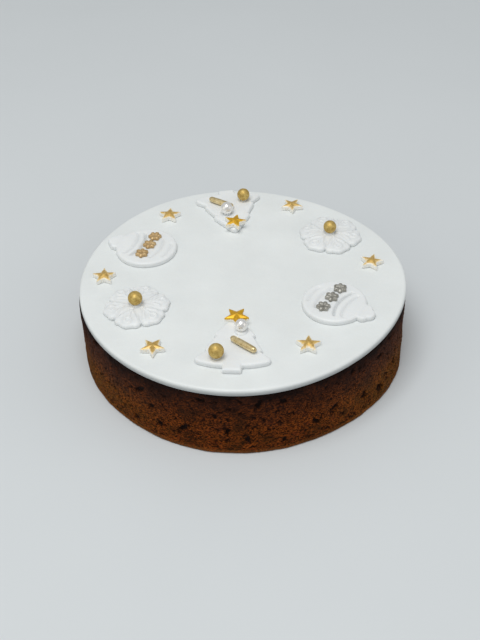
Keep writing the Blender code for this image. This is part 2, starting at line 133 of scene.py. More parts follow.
# Colours of the side
CRUMB_SHADOW, CRUMB_GRAIN, CRUMB_MOTTLE = (22, 8, 2), (140, 71, 23), (30, 14, 5)
OLIVE_PATCH, PLUM_PATCH, RED_FLECK = (46, 30, 10), (58, 30, 25), (118, 50, 20)
# Painted bounce light and sheen on both flanks, warmer low down and greyer high up
LIT_FLANK_LOW, LIT_FLANK_HIGH = (110, 74, 26), (102, 68, 54)
# Upper side and top edge: partly dark crust, partly painted shade under the icing
UPPER_SIDE, BURNT_AND_SHADED_EDGE = (37, 20, 17), (15, 9, 9)
# Painted shade for the pits and hollows, a darker tone for the large hollows, and a lighter rim at the foot
PIT_SHADE, FRUIT_SHADE, FOOT_RIM = (27, 14, 11), (24, 16, 16), (146, 96, 52)


def only(piece):
    """Leaves one piece selected and active."""
    bpy.ops.object.select_all(action="DESELECT")
    piece.select_set(True)
    bpy.context.view_layer.objects.active = piece


def edit(piece, kinds):
    """Opens a piece for editing in vertex, edge or face mode."""
    if bpy.context.mode != "OBJECT":
        bpy.ops.object.mode_set(mode="OBJECT")
    only(piece)
    bpy.context.tool_settings.mesh_select_mode = kinds
    bpy.ops.object.mode_set(mode="EDIT")


def edit_edges(piece, test):
    """Opens a piece for editing with the edges selected whose two ends pass a test."""
    edit(piece, (False, True, False))
    bpy.ops.mesh.select_all(action="DESELECT")
    bpy.ops.object.mode_set(mode="OBJECT")
    ends = [vertex.co for vertex in piece.data.vertices]
    for edge in piece.data.edges:
        edge.select = test(ends[edge.vertices[0]], ends[edge.vertices[1]])
    bpy.ops.object.mode_set(mode="EDIT")


def edit_faces(piece, test):
    """Opens a piece for editing with the faces selected that pass a test."""
    edit(piece, (False, False, True))
    bpy.ops.mesh.select_all(action="DESELECT")
    bpy.ops.object.mode_set(mode="OBJECT")
    for face in piece.data.polygons:
        face.select = test(face)
    bpy.ops.object.mode_set(mode="EDIT")


def close(piece, name, crease):
    """Ends a piece's modelling: its place goes into its mesh, and it is shaded smooth up to a crease."""
    if bpy.context.mode != "OBJECT":
        bpy.ops.object.mode_set(mode="OBJECT")
    only(piece)
    bpy.ops.object.transform_apply(location=True, rotation=True, scale=True)
    bpy.ops.object.shade_smooth_by_angle(angle=math.radians(crease))
    piece.name = piece.data.name = name
    return piece


def reshape(piece, rule):
    """Moves each point of a piece by a rule, as a sculptor would."""
    for vertex in piece.data.vertices:
        vertex.co = rule(vertex.co)
    piece.data.update()


def dress(piece, material, slot, *nodes):
    """Gives a finished piece its material, puts it on the cake, and takes the place of its solid. The slot is
    not used.
    """
    piece.data.materials.clear()
    piece.data.materials.append(material)
    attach(piece, "root")
    if nodes:
        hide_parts(*nodes)


def wave_sum(angle, terms):
    """How far an outline stands out of round at an angle."""
    return sum(size * np.cos(order * (angle - math.radians(towards))) for order, size, towards in terms)


def cake_radius(height):
    """The cake's round profile at a height."""
    return CAKE_FOOT_RADIUS + (CAKE_TOP_RADIUS - CAKE_FOOT_RADIUS) * height / CAKE_HEIGHT


def cake_growth(angle, height):
    """How far the side stands out of its round profile."""
    rise = height / CAKE_HEIGHT
    spots = zip(CAKE_TOP_RADIUS * np.cos(angle), CAKE_TOP_RADIUS * np.sin(angle), height)
    lumps = np.array([noise.noise(Vector(spot) / LUMP_SPAN) for spot in spots])
    growth = rise * wave_sum(angle, TOP_WAVES) + (1 - rise) * wave_sum(angle, FOOT_WAVES)
    growth += LUMP_HEIGHT * lumps
    for azimuth, half_width, at_top, at_foot in LEANS:
        turn = (np.degrees(angle) - azimuth + 180) % 360 - 180
        growth += np.exp(-(turn / half_width) ** 2) * (rise * at_top + (1 - rise) * at_foot)
    return growth


def hollow_list():
    """The large hollows, and small ones scattered evenly over what is left of the side, as in the solid."""
    random.seed(HOLLOW_SEED)
    hollows = list(LARGE_HOLLOWS)
    tries = 0
    while len(hollows) < len(LARGE_HOLLOWS) + SMALL_HOLLOW_COUNT and tries < SMALL_HOLLOW_TRIES:
        tries += 1
        azimuth = random.uniform(-180, 180)
        height = random.uniform(*SMALL_HOLLOW_HEIGHTS)
        long_size = random.uniform(*SMALL_HOLLOW_SIZES)
        short_size = long_size * random.uniform(0.5, 0.75)
        tilt = random.uniform(-75, 75)
        clear = True
        for other in hollows:
            turn = math.radians((azimuth - other[0] + 180) % 360 - 180)
            apart = math.hypot(turn * CAKE_TOP_RADIUS, height - other[1])
            clear = clear and apart > SMALL_HOLLOW_SPACE + other[2] / 2
        if clear:
            hollows.append((azimuth, height, long_size, short_size, tilt))
    return hollows


def pit_list():
    """Small pits of one or two millimetres all over the side."""
    random.seed(PIT_SEED)
    pits = []
    for _ in range(PIT_COUNT):
        size = random.choice(PIT_SIZES)
        pits.append((random.uniform(-180, 180), random.uniform(*PIT_HEIGHTS), size,
                     size * random.uniform(0.3, 0.65), random.uniform(40, 150)))
    return pits


def sunk(angle, height, ragged, hollows, depth_share):
    """How deep each point of the side lies below bowls with ragged rims, and how far inside a bowl it is."""
    depth = np.zeros(len(angle))
    inside = np.zeros(len(angle))
    for azimuth, middle, long_size, short_size, tilt in hollows:
        turn = (angle - math.radians(azimuth) + math.pi) % (2 * math.pi) - math.pi
        aside, above = turn * CAKE_TOP_RADIUS, height - middle
        near = np.hypot(aside, above) < long_size
        lean = math.radians(tilt)
        across = aside[near] * math.cos(lean) + above[near] * math.sin(lean)
        along = above[near] * math.cos(lean) - aside[near] * math.sin(lean)
        reach = np.hypot(across / (short_size * 0.5), along / (long_size * 0.5))
        reach += RIM_RAGGEDNESS * ragged[near]
        bowl = np.clip(BOWL_REACH - reach, 0, BOWL_WALL) / BOWL_WALL
        depth[near] = np.maximum(depth[near], depth_share * short_size * bowl * bowl * (3 - 2 * bowl))
        inside[near] = np.maximum(inside[near], bowl)
    return depth, inside


def rows_up_the_side(share):
    """Inset and height of a point at a share of the way up the profile, both rounded edges included."""
    foot_arc, top_arc = FOOT_ROUND * math.pi / 2, TOP_EDGE_ROUND * math.pi / 2
    straight = CAKE_HEIGHT - FOOT_ROUND - TOP_EDGE_ROUND
    run = share * (foot_arc + straight + top_arc)
    foot_turn = np.clip(run / FOOT_ROUND, 0, math.pi / 2)
    top_turn = np.clip((run - foot_arc - straight) / TOP_EDGE_ROUND, 0, math.pi / 2)
    height = FOOT_ROUND * (1 - np.cos(foot_turn)) + np.clip(run - foot_arc, 0, straight)
    height += TOP_EDGE_ROUND * np.sin(top_turn)
    inset = FOOT_ROUND * (1 - np.sin(foot_turn)) + TOP_EDGE_ROUND * (1 - np.cos(top_turn))
    return inset, height


def baked_side(piece):
    """Wraps a plain drum into the cake's side and tears its crumb."""
    flat = np.empty(len(piece.data.vertices) * 3)
    piece.data.vertices.foreach_get("co", flat)
    points = flat.reshape(-1, 3)
    angle = np.arctan2(points[:, 1], points[:, 0])
    inset, height = rows_up_the_side(points[:, 2])
    plain = np.stack((CAKE_TOP_RADIUS * np.cos(angle), CAKE_TOP_RADIUS * np.sin(angle), height), axis=1)
    layered = plain * (1, 1, GRAIN_FLATTENING)
    grain = np.array([noise.fractal(Vector(p) / GRAIN_SPAN, *GRAIN_NOISE) for p in layered])
    ragged = np.array([noise.noise(Vector(p) / RAGGED_SPAN) for p in plain])
    coarse = np.array([noise.noise(Vector(p) / COARSE_SPAN + Vector((7, 3, 1))) for p in plain])
    hollow, in_hollow = sunk(angle, height, ragged, hollow_list(), HOLLOW_DEPTH)
    pit, in_pit = sunk(angle, height, ragged * 0.8, pit_list(), PIT_DEPTH)
    edge = np.clip(np.minimum(height, CAKE_HEIGHT - height) / CALM_EDGE, 0, 1)
    relief = (GRAIN_DEPTH * grain + COARSE_DEPTH * coarse - CRUMB_INSET) * edge
    relief -= np.maximum(hollow, pit) * edge
    radius = (cake_radius(height) - inset) * (1 + cake_growth(angle, height) / CAKE_TOP_RADIUS) + relief
    points[:, 0], points[:, 1], points[:, 2] = radius * np.cos(angle), radius * np.sin(angle), height
    piece.data.vertices.foreach_set("co", points.ravel())
    for name, values in (("pitted", np.maximum(in_pit * 0.8, in_hollow)), ("fruit", in_hollow)):
        layer = piece.data.attributes.new(name, "FLOAT", "POINT")
        layer.data.foreach_set("value", values.astype(np.float32))
    piece.data.update()


def tone(red, green, blue):
    """A colour seen in the photograph, 0 to 255 a channel, as the linear colour that a shader takes."""
    linear = [((v / 255 + 0.055) / 1.055) ** 2.4 if v > 10 else v / 255 / 12.92 for v in (red, green, blue)]
    return linear + [1]


def node(tree, kind, inputs=None, **settings):
    """Adds a shader node, sets it and feeds its inputs with values or with other nodes' outputs."""
    made = tree.nodes.new("ShaderNode" + kind)
    for key, value in settings.items():
        setattr(made, key, value)
    for key, value in (inputs or {}).items():
        if isinstance(value, bpy.types.NodeSocket):
            tree.links.new(value, made.inputs[key])
        else:
            made.inputs[key].default_value = value
    return made


def blended(tree, share, first, second, mode="MIX"):
    """Colour that goes from the first to the second as share goes from 0 to 1."""
    return node(tree, "Mix", {0: share, 6: first, 7: second}, data_type="RGBA", blend_type=mode).outputs[2]


def between(tree, value, low, high, to_low=0.0, to_high=1.0):
    """A value's range mapped to another range, and held there."""
    return node(tree, "MapRange", {"Value": value, "From Min": low, "From Max": high,
                                   "To Min": to_low, "To Max": to_high}).outputs[0]


def sums(tree, kind, first, second):
    """A sum of two values or sockets, such as ADD or MULTIPLY."""
    return node(tree, "Math", {0: first, 1: second}, operation=kind).outputs[0]


def speckle(tree, place, size, detail=3, roughness=0.6):
    """Cloudy noise of a size in metres."""
    return node(tree, "TexNoise", {"Vector": place, "Scale": 1 / size, "Detail": detail,
                                   "Roughness": roughness}).outputs["Fac"]


def raised(tree, height, distance, strength):
    """A bump from a height of 0 to 1."""
    return node(tree, "Bump", {"Height": height, "Distance": distance, "Strength": strength}).outputs[0]


def new_material(name):
    """An empty material, its tree, its Principled shader and its Object coordinates."""
    made = bpy.data.materials.new(name)
    made.use_nodes = True
    tree = made.node_tree
    place = node(tree, "TexCoord").outputs["Object"]
    return made, tree, tree.nodes["Principled BSDF"], place


def crumb_material():
    """Dark baked crumb: orange-brown grain low down, patchy, painted light on both flanks, near black on top.
    """
    made, tree, shader, place = new_material("dark_fruit_cake")
    spot = node(tree, "SeparateXYZ", {0: place}).outputs
    across, height = spot["X"], spot["Z"]
    layered = node(tree, "Mapping", {"Vector": place, "Scale": (1, 1, 1.8)}).outputs[0]
    patches = speckle(tree, place, 15 * MM, 4, 0.65)
    fine = speckle(tree, layered, 1.3 * MM, 3, 0.75)
    flecks = speckle(tree, layered, 3.4 * MM, 3, 0.7)
    mottle = speckle(tree, layered, 5.5 * MM, 4, 0.7)
    colour = blended(tree, between(tree, fine, 0.43, 0.6), tone(*CRUMB_SHADOW), tone(*CRUMB_GRAIN))
    colour = blended(tree, between(tree, mottle, 0.5, 0.64, 0, 0.7), colour, tone(*CRUMB_MOTTLE))
    colour = blended(tree, between(tree, patches, 0.5, 0.66, 0, 0.5), colour, tone(*OLIVE_PATCH))
    colour = blended(tree, between(tree, patches, 0.46, 0.3, 0, 0.4), colour, tone(*PLUM_PATCH))
    low_down = between(tree, height, *RED_HEIGHTS)
    red = sums(tree, "MULTIPLY", between(tree, flecks, 0.54, 0.68), low_down)
    colour = blended(tree, sums(tree, "MULTIPLY", red, 0.55), colour, tone(*RED_FLECK))
    wander = sums(tree, "ADD", height, between(tree, patches, 0.2, 0.8, -TONE_WANDER, TONE_WANDER))
    # Both flanks are painted lighter, still grained: painted bounce light and sheen
    aside = between(tree, sums(tree, "ABSOLUTE", across, 0.0), *FLANK_REACH)
    flank_light = sums(tree, "MULTIPLY", aside, between(tree, mottle, 0.35, 0.6, 0.3, 0.58))
    lit_flank_colour = blended(tree, between(tree, wander, *LIT_FLANK_HEIGHTS), tone(*LIT_FLANK_LOW), tone(*LIT_FLANK_HIGH))
    lit_flank_colour = blended(tree, 1.0, lit_flank_colour, between(tree, fine, 0.42, 0.6, 0.3, 1.5), "MULTIPLY")
    colour = blended(tree, flank_light, colour, lit_flank_colour)
    # Darker towards the icing: partly dark crust, partly painted shade under its edge
    colour = blended(tree, between(tree, wander, *UPPER_HEIGHTS, 0, 0.78), colour, tone(*UPPER_SIDE))
    colour = blended(tree, between(tree, wander, *BURNT_AND_SHADED_HEIGHTS, 0, 0.75), colour, tone(*BURNT_AND_SHADED_EDGE))
    pitted = node(tree, "Attribute", attribute_name="pitted").outputs["Fac"]
    fruit = node(tree, "Attribute", attribute_name="fruit").outputs["Fac"]
    # The pits and hollows are painted darker, as painted shade in these recesses, the large ones darker still
    colour = blended(tree, between(tree, pitted, 0.05, 0.8, 0, 0.88), colour, tone(*PIT_SHADE))
    colour = blended(tree, between(tree, fruit, 0.45, 0.95, 0, 0.6), colour, tone(*FRUIT_SHADE))
    rim = between(tree, height, *RIM_HEIGHTS, 0.35, 0)
    colour = blended(tree, rim, colour, tone(*FOOT_RIM))
    tree.links.new(colour, shader.inputs["Base Color"])
    tree.links.new(between(tree, fruit, 0.3, 0.9, 0.82, 0.5), shader.inputs["Roughness"])
    tree.links.new(raised(tree, sums(tree, "ADD", fine, flecks), 0.5 * MM, 0.8), shader.inputs["Normal"])
    shader.inputs["Specular IOR Level"].default_value = 0.06
    return made


bpy.ops.object.select_all(action="DESELECT")
bpy.ops.mesh.primitive_cylinder_add(vertices=CRUMB_COLUMNS, radius=CAKE_TOP_RADIUS, depth=1,
                                    location=(0, 0, 0.5))
crumb = bpy.context.object
bpy.ops.object.transform_apply(location=True)
edit_edges(crumb, lambda a, b: abs(a.z - b.z) > 0.5)
bpy.ops.mesh.subdivide(number_cuts=CRUMB_ROWS)
bpy.ops.object.mode_set(mode="OBJECT")
baked_side(crumb)
close(crumb, "cake_crumb", 80)
dress(crumb, crumb_material(), "fruit_cake_crumb", "cake")

# The icing lid
# Ready-rolled sugar paste, about 4 mm thick, cut to the cake's outline and laid on it. Its upper edge is
# smoothed round with the palm, and its cut lower edge wanders a little. The surface is satin, with slight
# swells.
ICING_RADIUS = 100 * MM
ICING_LOW, ICING_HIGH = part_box("icing")[0][2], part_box("icing")[1][2]
ICING_COLUMNS = 360
ICING_RINGS = 22
ICING_TOP_ROUND = 1.8 * MM
ICING_FOOT_ROUND = 0.5 * MM
SWELL_DEPTH = 0.09 * MM
SWELL_SPAN = 34 * MM
CUT_WANDER = 0.35 * MM
CUT_WANDER_SPAN = 16 * MM
LID_SHADED, LID_BRIGHT = (224, 228, 228), (231, 235, 235)
# Painted shade for pressed grooves and valleys, and painted shade for the lid's wall
GROOVE_PAINTED_SHADE, WALL_PAINTED_SHADE = (176, 180, 181), (154, 157, 158)
PASTE_GLOW_REACH = 1.2 * MM


def paste_grain():
    """Shared surface of rolled sugar paste: slow changes of shade, and the fine dry grain of the paste."""
    group = bpy.data.node_groups.new("paste_grain", "ShaderNodeTree")
    group.interface.new_socket("Place", in_out="INPUT", socket_type="NodeSocketVector")
    group.interface.new_socket("Shade", in_out="OUTPUT", socket_type="NodeSocketFloat")
    group.interface.new_socket("Height", in_out="OUTPUT", socket_type="NodeSocketFloat")
    place = group.nodes.new("NodeGroupInput").outputs["Place"]
    result = group.nodes.new("NodeGroupOutput")
    slow = speckle(group, place, 30 * MM, 3, 0.5)
    dust = speckle(group, place, 0.7 * MM, 2, 0.6)
    swirl = speckle(group, place, 5 * MM, 3, 0.55)
    shade = sums(group, "ADD", sums(group, "MULTIPLY", slow, 0.7), sums(group, "MULTIPLY", dust, 0.3))
    group.links.new(shade, result.inputs["Shade"])
    group.links.new(sums(group, "ADD", sums(group, "MULTIPLY", dust, 0.25), swirl), result.inputs["Height"])
    return group


def paste_material(name, shaded, bright, roughness, grain_depth, glow, painted_wall_shade):
    """Sugar paste in its own white, with painted shade in its pressed grooves and on the lid's wall."""
    made, tree, shader, place = new_material(name)
    grain = node(tree, "Group", node_tree=paste_surface)
    tree.links.new(place, grain.inputs["Place"])
    colour = blended(tree, between(tree, grain.outputs["Shade"], 0.35, 0.65), tone(*shaded), tone(*bright))
    height = node(tree, "SeparateXYZ", {0: place}).outputs[2]
    pressed = node(tree, "Attribute", attribute_name="pressed").outputs["Fac"]
    # Pressed grooves and valleys, and the lines beside the veins, painted darker as painted shade
    colour = blended(tree, sums(tree, "MULTIPLY", pressed, 0.5), colour, tone(*GROOVE_PAINTED_SHADE))
    # The lid's wall is painted darker towards its foot, as painted shade
    edge = between(tree, height, ICING_LOW + 1 * MM, ICING_HIGH - 0.6 * MM, painted_wall_shade, 0)
    colour = blended(tree, edge, colour, tone(*WALL_PAINTED_SHADE))
    tree.links.new(colour, shader.inputs["Base Color"])
    tree.links.new(between(tree, grain.outputs["Shade"], 0.3, 0.7, roughness + 0.05, roughness - 0.05),
                   shader.inputs["Roughness"])
    tree.links.new(raised(tree, grain.outputs["Height"], grain_depth, 0.6), shader.inputs["Normal"])
    shader.inputs["Specular IOR Level"].default_value = 0.35
    shader.inputs["Subsurface Weight"].default_value = glow
    shader.inputs["Subsurface Radius"].default_value = (1.0, 0.9, 0.8)
    shader.inputs["Subsurface Scale"].default_value = PASTE_GLOW_REACH
    return made


def rolled(point):
    """The lid's outline, its slight swells, and its wandering lower edge."""
    angle = math.atan2(point.y, point.x)
    out = math.hypot(point.x, point.y) / ICING_RADIUS
    factor = 1 + out ** 4 * float(wave_sum(angle, TOP_WAVES)) / ICING_RADIUS
    height = point.z
    if height > ICING_HIGH - 0.01 * MM:
        swell = noise.noise(Vector((point.x, point.y, 0)) / SWELL_SPAN)
        height -= SWELL_DEPTH * (0.5 + swell) * min(1, (1 - out) * 12)
    elif height < ICING_LOW + ICING_FOOT_ROUND * 1.2 and out > 0.9:
        wander = noise.noise(Vector((point.x, point.y, 3)) / CUT_WANDER_SPAN)
        height += CUT_WANDER * max(0, wander)
    return Vector((point.x * factor, point.y * factor, height))


middle_height = (ICING_HIGH + ICING_LOW) / 2
bpy.ops.object.select_all(action="DESELECT")
bpy.ops.mesh.primitive_cylinder_add(vertices=ICING_COLUMNS, radius=ICING_RADIUS, depth=ICING_HIGH - ICING_LOW,
                                    location=(0, 0, middle_height))
lid = bpy.context.object
bpy.ops.object.transform_apply(location=True)
edit_edges(lid, lambda a, b: a.z > middle_height and b.z > middle_height)
bpy.ops.mesh.bevel(offset=ICING_TOP_ROUND, segments=9, profile=0.5, affect="EDGES")
edit_edges(lid, lambda a, b: a.z < ICING_LOW + 0.1 * MM and b.z < ICING_LOW + 0.1 * MM)
bpy.ops.mesh.bevel(offset=ICING_FOOT_ROUND, segments=3, profile=0.5, affect="EDGES")
edit_faces(lid, lambda face: face.normal.z > 0.99 and len(face.vertices) > 4)
for ring in range(ICING_RINGS):
    bpy.ops.mesh.inset(thickness=(ICING_RADIUS - ICING_TOP_ROUND) / (ICING_RINGS + 1))
bpy.ops.mesh.merge(type="CENTER")
bpy.ops.object.mode_set(mode="OBJECT")
reshape(lid, rolled)
close(lid, "icing_lid", 60)
paste_surface = paste_grain()
# Painted shade on the lid's wall, strongest near its foot
rolled_icing = paste_material("rolled_icing", LID_SHADED, LID_BRIGHT, roughness=0.42,
                              grain_depth=0.25 * MM, glow=0.06, painted_wall_shade=0.8)
dress(lid, rolled_icing, "white_icing", "icing")

# The trees
# Two flat fir trees stamped out of rolled sugar paste with a plunger cutter, and stuck to the lid with a
# damp brush. Three tiers on a short trunk, with edges that the cutter leaves soft.
MOTIF_THICK = 3.0 * MM
MOTIF_SOFT_EDGE = 1.6 * MM
MOTIF_SHADED, MOTIF_BRIGHT = (227, 230, 231), (234, 237, 238)

# Half width, height and rounding of each tier's tip
TREE_TIERS = (
    (12.2 * MM, 22.3 * MM, 1.3 * MM),
    (16.7 * MM, 9.3 * MM, 1.3 * MM),
    (23.5 * MM, 0.4 * MM, 2.4 * MM),
)
TREE_TIP = 41 * MM
TREE_TIP_ROUND = 2.6 * MM
TREE_NOTCH = 1.3 * MM
TREE_BASE_SAG = 4.4 * MM
TRUNK_HALF_WIDTH = 5.5 * MM
TRUNK_FOOT = -8.6 * MM
TRUNK_ROUND = 0.8 * MM
TREE_MIDDLE = 12 * MM
CORNER_STEPS = 6
TREE_COLUMNS = 480

# Where each lies on the cake, and how it is turned in degrees
TREE_PLACES = {"tree_front": (-5.8 * MM, -78.4 * MM, -4.1), "tree_back": (-7.4 * MM, 87.8 * MM, -173)}

# Rings of a stamped piece, as shares of its way out: narrow ones at the rim, and how many inside them
EDGE_RINGS = (0.003, 0.006, 0.01, 0.014, 0.018, 0.022, 0.026)
INNER_RINGS = 24


def round_corners(corners):
    """An outline from corners given as (x, y, radius), each rounded by an arc of its own radius."""
    points = []
    for i, (x, y, radius) in enumerate(corners):
        corner = Vector((x, y))
        before = (Vector(corners[i - 1][:2]) - corner).normalized()
        after = (Vector(corners[(i + 1) % len(corners)][:2]) - corner).normalized()
        half = before.angle(after) / 2
        if radius == 0:
            points.append((x, y))
            continue
        reach = radius / math.tan(half)
        middle = corner + (before + after).normalized() * radius / math.sin(half)
        start = corner + before * reach - middle
        sweep = (corner + after * reach - middle).angle_signed(start)
        for k in range(CORNER_STEPS + 1):
            arm = Matrix.Rotation(sweep * k / CORNER_STEPS, 2) @ start
            points.append((middle.x + arm.x, middle.y + arm.y))
    return points


def tree_outline():
    """Three tiers, each tip proud of the tier below, on a short trunk. The lowest tier's foot sags."""
    right = [(0, TREE_TIP, TREE_TIP_ROUND)]
    for half_width, height, tip_radius in TREE_TIERS:
        right.append((half_width, height, tip_radius))
        if height > 1 * MM:
            right.append((half_width - TREE_NOTCH, height - TREE_NOTCH, 0))
    for i in (1, 2, 3):
        share = i / 4
        width = TREE_TIERS[-1][0] * (1 - share) + TRUNK_HALF_WIDTH * share
        right.append((width, -TREE_BASE_SAG * math.sin(share * math.pi / 2), 0))
    right.append((TRUNK_HALF_WIDTH, -TREE_BASE_SAG, 0))
    right.append((TRUNK_HALF_WIDTH, TRUNK_FOOT, TRUNK_ROUND))
    left = [(-x, y, radius) for x, y, radius in reversed(right[1:])]
    return round_corners(right + left)


def set_down(model, name, x, y, z, turn):
    """A copy of a model with a mesh of its own, turned and moved to its place on the cake."""
    piece = model.copy()
    piece.data = model.data.copy()
    piece.name = piece.data.name = name
    bpy.context.collection.objects.link(piece)
    piece.data.transform(Matrix.Translation((x, y, z)) @ Matrix.Rotation(math.radians(turn), 4, "Z"))
    return piece


def reach_to(outline, angle):
    """How far out an outline of points is from its middle, along an angle."""
    across, along = math.cos(angle), math.sin(angle)
    run = np.roll(outline, -1, axis=0) - outline
    crossing = across * run[:, 1] - along * run[:, 0] + 1e-15
    distance = (outline[:, 0] * run[:, 1] - outline[:, 1] * run[:, 0]) / crossing
    share = (outline[:, 0] * along - outline[:, 1] * across) / crossing
    return float(distance[(share >= 0) & (share <= 1) & (distance > 0)].max())


def distance_to_outline(outline, x, y):
    """How far a flat point is from the nearest part of an outline of points."""
    run = np.roll(outline, -1, axis=0) - outline
    spot = np.array((x, y)) - outline
    share = np.clip((spot * run).sum(axis=1) / ((run * run).sum(axis=1) + 1e-15), 0, 1)
    away = spot - run * share[:, None]
    return float(np.hypot(away[:, 0], away[:, 1]).min())


def pressed_piece(name, columns, thick, outline, relief):
    """A piece stamped out of paste: rings drawn out to its outline, a soft top edge, and a relief."""
    bpy.ops.object.select_all(action="DESELECT")
    bpy.ops.mesh.primitive_cylinder_add(vertices=columns, radius=1, depth=thick, location=(0, 0, thick / 2))
    piece = bpy.context.object
    bpy.ops.object.transform_apply(location=True)
    edit_faces(piece, lambda face: face.normal.z > 0.99)
    for width in EDGE_RINGS:
        bpy.ops.mesh.inset(thickness=width)
    left = 1 - sum(EDGE_RINGS)
    for ring in range(INNER_RINGS - 1):
        bpy.ops.mesh.inset(thickness=left / INNER_RINGS)
    bpy.ops.mesh.merge(type="CENTER")
    bpy.ops.object.mode_set(mode="OBJECT")
    painted_shades = []

    def pressed(point):
        angle = math.atan2(point.y, point.x)
        share = math.hypot(point.x, point.y)
        reach = reach_to(outline, angle)
        x, y, height = point.x * reach, point.y * reach, point.z
        painted_shade = 0
        if height > thick / 2:
            from_rim = distance_to_outline(outline, x, y)
            lift, painted_shade = relief(x, y, share, angle)
            height += lift * min(1, from_rim / MOTIF_SOFT_EDGE)
            drop = max(0, MOTIF_SOFT_EDGE - from_rim)
            height -= MOTIF_SOFT_EDGE - math.sqrt(max(0, MOTIF_SOFT_EDGE ** 2 - drop ** 2))
        painted_shades.append(painted_shade)
        return Vector((x, y, height))

    reshape(piece, pressed)
    # The pressed layer holds painted shade for the grooves and valleys
    layer = piece.data.attributes.new("pressed", "FLOAT", "POINT")
    layer.data.foreach_set("value", painted_shades)
    return close(piece, name, 60)


def plain_top(x, y, share, angle):
    """No lift and no painted shade: the tree's top is plain."""
    return 0, 0


def lay_motifs(model, places):
    """Lays a copy of a stamped motif at each of its places, then clears the model away."""
    for name, (x, y, turn) in places.items():
        piece = set_down(model, name + "_paste", x, y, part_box(name)[0][2], turn)
        dress(piece, motif_paste, "white_paste", name)
    bpy.data.objects.remove(model)


tree_edge = np.array(tree_outline()) - np.array((0, TREE_MIDDLE))
tree = pressed_piece("tree", TREE_COLUMNS, MOTIF_THICK, tree_edge, plain_top)
tree.data.transform(Matrix.Translation((0, TREE_MIDDLE, 0)))
motif_paste = paste_material("cut_paste", MOTIF_SHADED, MOTIF_BRIGHT, roughness=0.46,
                             grain_depth=0.3 * MM, glow=0.12, painted_wall_shade=0)
lay_motifs(tree, TREE_PLACES)

# The baubles
# Two round tree baubles of the same paste, each with a lobed cap. The plunger presses curved bands across
# the ball and a shallow line where the cap begins, and leaves the rim softly rounded.
BAUBLE_RADIUS = 19.4 * MM
BAUBLE_COLUMNS = 300
CAP_LOBES = ((22.0 * MM, 0, 4.6 * MM), (20.2 * MM, 3.8 * MM, 3.3 * MM), (20.2 * MM, -3.8 * MM, 3.3 * MM))

# Each band's place along the ball and its strength, then the bend, length, depth, width and fade of all bands
GROOVES = ((-15.0 * MM, 0.5), (-9.3 * MM, 0.6), (2.7 * MM, 1.0), (7.8 * MM, 0.6))
GROOVE_BEND = 21
GROOVE_SHARE = 0.64
GROOVE_DEPTH = 1.5 * MM
GROOVE_WIDTH = 1.0 * MM
GROOVE_FADE = 1.2 * MM

# The line under the cap
CAP_LINE = 18.4 * MM
CAP_LINE_BEND = 12
CAP_LINE_DEPTH = 0.3 * MM
CAP_LINE_WIDTH = 0.7 * MM
CAP_LINE_HALF = 6.4 * MM
CAP_LINE_FADE = 1.5 * MM
BAUBLE_PLACES = {"bauble_right": (55.5 * MM, -28.0 * MM, -32), "bauble_left": (-59.6 * MM, 33.2 * MM, 159)}


def lobed_outline(lobes, core, count):
    """The outline of a union of round lobes and a round core, as so many points at even angles."""
    points = []
    for angle in np.arange(count) * 2 * math.pi / count:
        furthest = core
        for x, y, radius in lobes:
            distance = math.hypot(x, y)
            off = angle - math.atan2(y, x)
            inside = radius ** 2 - (distance * math.sin(off)) ** 2
            if inside > 0 and math.cos(off) > 0:
                furthest = max(furthest, distance * math.cos(off) + math.sqrt(inside))
        points.append((furthest * math.cos(angle), furthest * math.sin(angle)))
    return np.array(points)


def bauble_relief(x, y, share, angle):
    """The pressed bands, and the line under the cap. Both fade before the rim."""
    depth = 0
    for along, strength in GROOVES:
        half = GROOVE_SHARE * math.sqrt(BAUBLE_RADIUS ** 2 - along ** 2)
        away = (x - along - GROOVE_BEND * y * y) / GROOVE_WIDTH
        fade = min(1, max(0, (half * 1.06 - abs(y)) / GROOVE_FADE))
        depth = max(depth, strength * GROOVE_DEPTH * math.exp(-away * away) * fade)
    away = (x - CAP_LINE - CAP_LINE_BEND * y * y) / CAP_LINE_WIDTH
    fade = min(1, max(0, (CAP_LINE_HALF - abs(y)) / CAP_LINE_FADE))
    depth = max(depth, CAP_LINE_DEPTH * math.exp(-away ** 2) * fade)
    # The second value is painted shade, darker where a band is deeper
    return -depth, (depth / GROOVE_DEPTH) ** 1.5


bauble_edge = lobed_outline(CAP_LOBES, BAUBLE_RADIUS, BAUBLE_COLUMNS)
bauble = pressed_piece("bauble", BAUBLE_COLUMNS, MOTIF_THICK, bauble_edge, bauble_relief)
lay_motifs(bauble, BAUBLE_PLACES)

# The snowflakes
# Two snowflakes of the same paste: six lobed arms, each pressed with a forked vein and a small ring near its
# end. The middle stands higher, under a dab of icing that holds a ball.
ARM_LOBES = (
    (12.6 * MM, 0, 7.3 * MM),
    (16.6 * MM, 0, 3.7 * MM),
    (14.9 * MM, 4.7 * MM, 3.5 * MM),
    (14.9 * MM, -4.7 * MM, 3.5 * MM),
)
SNOWFLAKE_CORE = 12 * MM
SNOWFLAKE_COLUMNS = 360
SNOWFLAKE_THICK = 2.4 * MM
SNOWFLAKE_DOME = 1.3 * MM
VEIN_HEIGHT = 0.8 * MM
VEIN_WIDTH = 0.6 * MM
VEIN_START = 5 * MM

# The two ends of each vein of an arm, in millimetres, and the line of painted shade beside it
VEINS = (((4.5, 0), (12, 0)), ((7.6, 0.6), (12.8, 4.6)), ((7.6, -0.6), (12.8, -4.6)))
VEIN_SIDE_SHADE_PLACE = 1.3 * MM
VEIN_SIDE_SHADE_WIDTH = 0.6 * MM

# The valley between two arms, its depth as a share of a vein's height, and the small ring on each arm
VALLEY_WIDTH = 1.0 * MM
VALLEY_DEPTH = 1.2
RING_PLACE = 15.2 * MM
RING_RADIUS = 2.0 * MM

